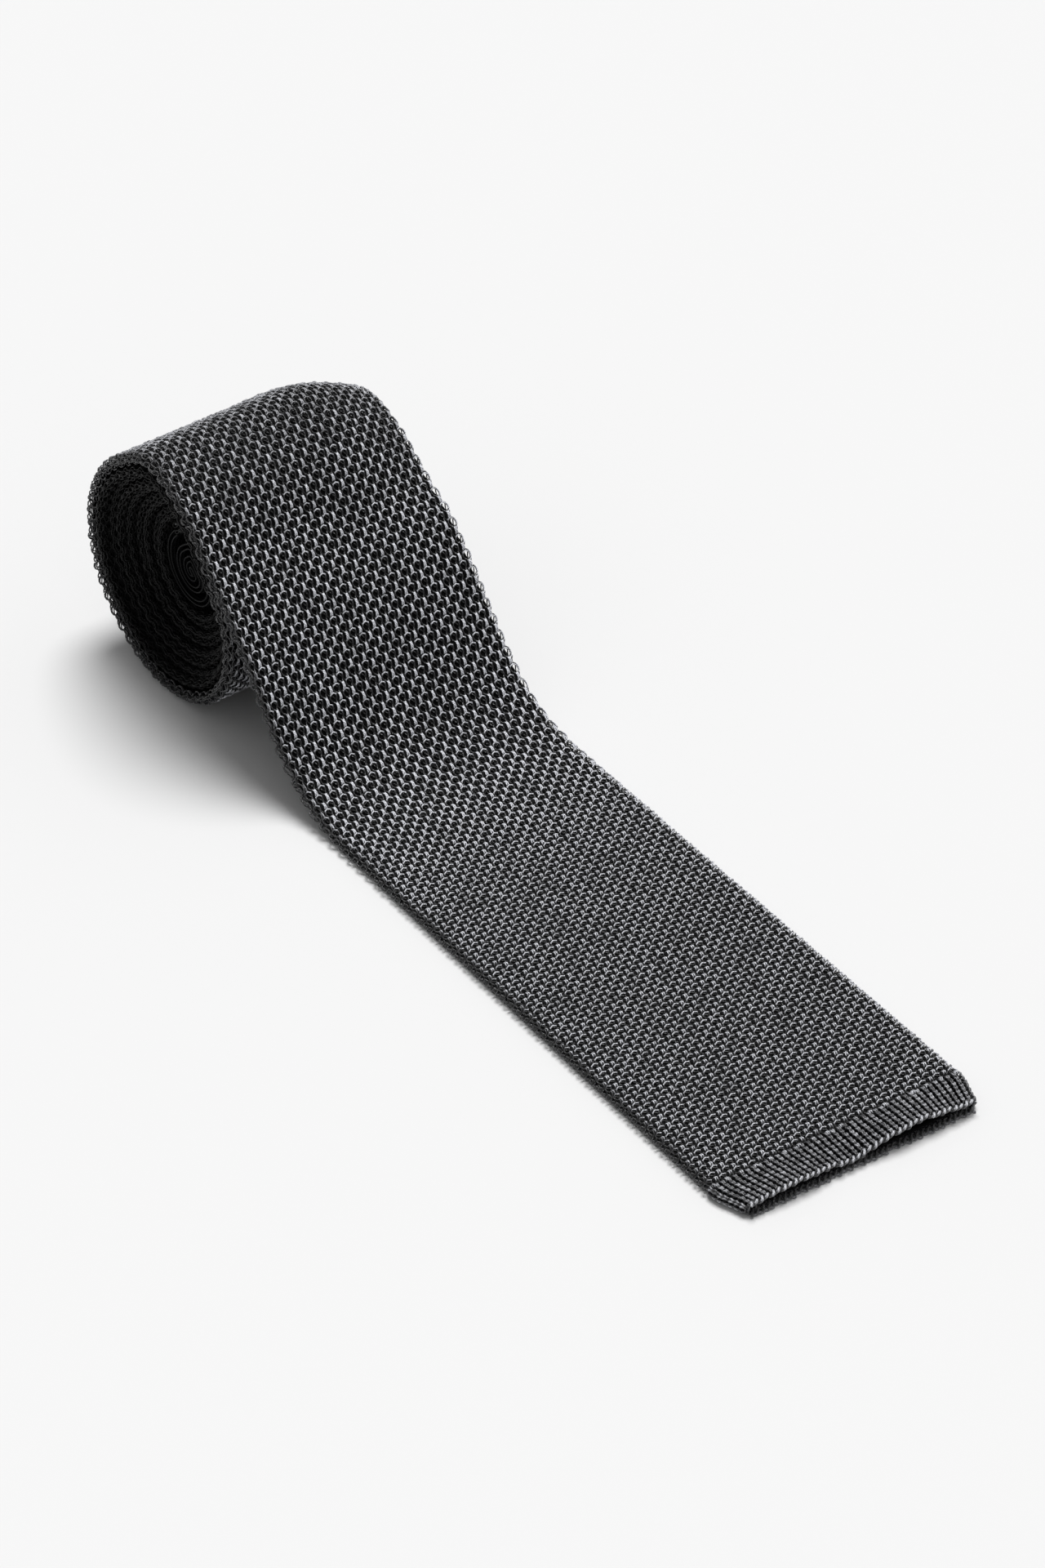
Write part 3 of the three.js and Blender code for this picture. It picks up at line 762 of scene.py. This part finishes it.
def back_seam(name, s_from, s_to):
    """Whip stitches along the middle of the back."""
    t = np.arange(0, (s_to - s_from) / 2.0, 1 / 12)
    s = s_from + 2.0 * t + 0.5 * np.sin(2 * math.pi * t)
    x = centre(s) + 0.5 * np.cos(2 * math.pi * t)
    depth = 2 * knit_layer(s) + GAP - 0.24 - 0.06 * np.cos(4 * math.pi * t)
    return thread_line(name, s, x, depth, 0.2, THREAD)


def cross_seam(name, s, x0, x1, depth, half):
    """Overcast stitches across the tie where two lengths are joined."""
    t = np.arange(0, (x1 - x0) / 1.3, 1 / 10)
    x = x0 + 1.3 * t
    swing = 2 * math.pi * t
    return thread_line(name, s + half * np.cos(swing), x, depth - 0.25 * np.sin(swing), 0.24, THREAD)


def mouth_tack(name, side):
    """A few turns of thread that hold the two layers together at a corner of the open end."""
    t = np.arange(0, 3.0, 1 / 16)
    swing = 2 * math.pi * t
    x = side * (TIP_WIDTH / 2 - 4.4 + 0.9 * np.cos(swing)) + 0 * t
    return thread_line(name, 0.7 + 0.3 * t, x, LOOSE_STACK / 2 - 1.25 * np.sin(swing), 0.2, THREAD)


def keeper_strap():
    start, length, half_span, flat_end, bow, cloth = KEEPER
    x = np.linspace(-half_span, half_span, 140)
    lift = smooth(half_span - np.abs(x), flat_end, 2 * flat_end) * bow
    s = start + length / 2
    y, z, ny, nz, _ = [float(v) for v in on_path(s)]
    normal = np.array([0, ny, nz])
    base = np.array([float(centre(s)), y, z]) - normal * (2 * float(knit_layer(s)) + 2 * GAP + cloth / 2)
    middle = base + x[:, None] * [1.0, 0, 0] - lift[:, None] * normal
    way = np.gradient(middle, axis=0)
    way /= np.linalg.norm(way, axis=1)[:, None]
    across = np.tile([0, nz, -ny], (len(x), 1))
    return cloth_strip("keeper_strap_cloth", middle, np.cross(way, across), across, length / 2, cloth / 2,
                       STRAP)


def keeper_tack(name, side):
    """A dense bar of zigzag stitches across the end of the keeper."""
    start, length, half_span, flat_end, _, cloth = KEEPER
    t = np.arange(0, (length - 1.2) / 0.45, 0.25)
    s = start + 0.6 + 0.45 * t
    x = centre(s) + side * (half_span - flat_end / 2) + 0.7 * np.cos(math.pi * t)
    return thread_line(name, s, x, 2 * knit_layer(s) + 2 * GAP + cloth + 0.18, 0.2, THREAD)


def care_tag():
    length, wide, cloth, offset = CARE_TAG
    start = KEEPER[0] - GAP - length
    s = np.linspace(start, start + length, 12)
    normal = np.stack([0 * s, *on_path(s)[2:4]], -1)
    middle = on_cloth(s, centre(s) + offset + wide / 2, 2 * knit_layer(s) + 2 * GAP + cloth / 2)
    across = np.tile([1.0, 0, 0], (len(s), 1))
    return cloth_strip("care_tag_cloth", middle, normal, across, wide / 2, cloth / 2, LABEL)


# ------------------------------------------------------------------ pieces
SPLIT = 79.0
MID_RISE = 128.0
BACK_RELIEF = 0.75
RIB_FACE = (-RIB_EDGE, RIB_WALES + RIB_EDGE)
RIB_BACK = (RIB_WALES + RIB_EDGE, 2 * RIB_WALES + RIB_EDGE)
TAIL_START = FIRST_TURN_END + 4


def over_fold(piece, fold):
    """Bakes the piece's placement into its mesh; the fold line is not used."""
    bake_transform(piece)


def place(slot, pieces, fold=None):
    for piece in pieces:
        if fold is None:
            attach(piece, "roll")
        else:
            over_fold(piece, fold)
    return pieces


# From the open end to the middle of the flat length.
end_face = place("knit_silk", [knit_piece("end_face_yarn", HEM_END, SPLIT, FACE, 5, YARN),
                               hem_ribs("hem_face_ribs", RIB_FACE, 2, 6, YARN),
                               cast_on_edge("hem_face_edge", 0, RIB_WALES, YARN)], OUTER_FOLD)
end_back = place("knit_silk_back", [
    knit_piece("end_back_yarn", HEM_END, SPLIT, BACK, 5, SHADED_BACK_YARN, BACK_RELIEF),
    hem_ribs("hem_back_ribs", RIB_BACK, 1, 5, SHADED_BACK_YARN),
    cast_on_edge("hem_back_edge", *RIB_BACK, SHADED_BACK_YARN)], OUTER_FOLD)
end_thread = place("thread", [back_seam("end_back_seam_thread", 2.0, SPLIT),
                              mouth_tack("left_mouth_thread", -1),
                              mouth_tack("right_mouth_thread", 1)], OUTER_FOLD)
end_ground = place("knit_silk", [tube_ground("end_knit_ground", 1.3, SPLIT)], OUTER_FOLD)[0]

# From there up to the roll.
middle_face = place("knit_silk", [
    knit_piece("middle_face_yarn", SPLIT, MID_RISE, FACE, 6, YARN),
    knit_piece("rise_face_yarn", MID_RISE, MEETS_ROLL, FACE, 6, YARN)], INNER_FOLD)
middle_back = place("knit_silk_back", [
    knit_piece("middle_back_yarn", SPLIT, MID_RISE, BACK, 5, SHADED_BACK_YARN, BACK_RELIEF),
    knit_piece("rise_back_yarn", MID_RISE, MEETS_ROLL, BACK, 5, SHADED_BACK_YARN, BACK_RELIEF)], INNER_FOLD)
middle_thread = place("thread", [back_seam("middle_back_seam_thread", SPLIT, MEETS_ROLL - GAP)], INNER_FOLD)
middle_ground = place("knit_silk", [tube_ground("middle_knit_ground", SPLIT, MEETS_ROLL)], INNER_FOLD)[0]

# Once round the roll.
third = (FIRST_TURN_END - MEETS_ROLL) / 3
outer_yarn = place("knit_silk", [
    knit_piece(f"outer_turn_yarn_{i + 1}", MEETS_ROLL + i * third, MEETS_ROLL + (i + 1) * third, FACE, 6, YARN)
    for i in range(3)])
outer_ground = place("knit_silk", [tube_ground("outer_turn_ground", MEETS_ROLL, FIRST_TURN_END)])[0]

# Inside the roll.
half_way = (FIRST_TURN_END + NECK_START) / 2


def edges(name, start, relief, section):
    """The knitted margins of a wound length, each in two pieces."""
    return place("knit_silk", [
        knit_piece(f"{name}_{side}_edge_{n}", s_from, s_to, around, 5, SHADED_WOUND_YARN, relief, section)
        for side, around in (("left", LEFT_EDGE), ("right", RIGHT_EDGE))
        for n, s_from, s_to in ((1, start, half_way), (2, half_way, NECK_START - 1.5))])


blade_edges = edges("wound_blade", FIRST_TURN_END, 0.6, BLADE)
blade_ground = place("knit_silk", [band_ground("wound_blade_ground", FIRST_TURN_END, BLADE)])[0]
tail_edges = edges("tail", TAIL_START + 1, 0.4, TAIL)
tail_ground = place("knit_silk", [band_ground("tail_ground", TAIL_START + 0.5, TAIL)])[0]
NECK_SPAN = (LEFT + CORE_RECESS + 0.5, LEFT + CORE_RECESS + NECK_WIDTH - 0.5)
TAIL_SPAN = (LEFT + TAIL_RECESS + 1, LEFT + TAIL_RECESS + TAIL_END_WIDTH - 1)
TAIL_DEPTH = 1.5 * WOUND_KNIT + GAP
joins = place("thread", [
    cross_seam("front_neck_join_thread", NECK_START - 0.5, *NECK_SPAN, WOUND_KNIT / 2, 0.5),
    cross_seam("tail_neck_join_thread", NECK_START - 0.5, *NECK_SPAN, TAIL_DEPTH, 0.5),
    cross_seam("tail_end_thread", TAIL_START + 0.7, *TAIL_SPAN, TAIL_DEPTH, 0.5)])
band = place("neckband_silk", [neckband("neckband_cloth")])[0]
strap = place("label_cloth", [keeper_strap()])[0]
strap_tacks = place("thread", [keeper_tack("keeper_left_thread", -1), keeper_tack("keeper_right_thread", 1)])
tag = place("label_cloth", [care_tag()])[0]

for piece, nodes in {
    end_ground: ["end_face_knit", "end_back_knit"],
    end_face[1]: ["face_hem_rib"], end_back[1]: ["back_hem_rib"],
    end_face[2]: ["face_cast_off_chain"], end_back[2]: ["back_cast_off_chain"],
    end_thread[0]: ["end_back_seam"], end_thread[1]: ["left_mouth_tack"], end_thread[2]: ["right_mouth_tack"],
    middle_ground: ["middle_face_knit", "middle_back_knit", "rise_face_knit", "rise_back_knit"],
    middle_thread[0]: ["middle_back_seam", "rise_back_seam"],
    outer_ground: ["outer_turn_face_knit", "outer_turn_back_knit"], blade_ground: ["wound_front_blade"],
    tail_ground: ["tail_blade", "tail_hem_rib"], joins[0]: ["front_neck_join"], joins[1]: ["tail_neck_join"],
    joins[2]: ["tail_cast_off_chain"], band: ["neckband"], strap: ["keeper_strap"],
    strap_tacks[0]: ["keeper_left_tack"], strap_tacks[1]: ["keeper_right_tack"], tag: ["care_tag"],
}.items():
    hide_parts(*nodes)
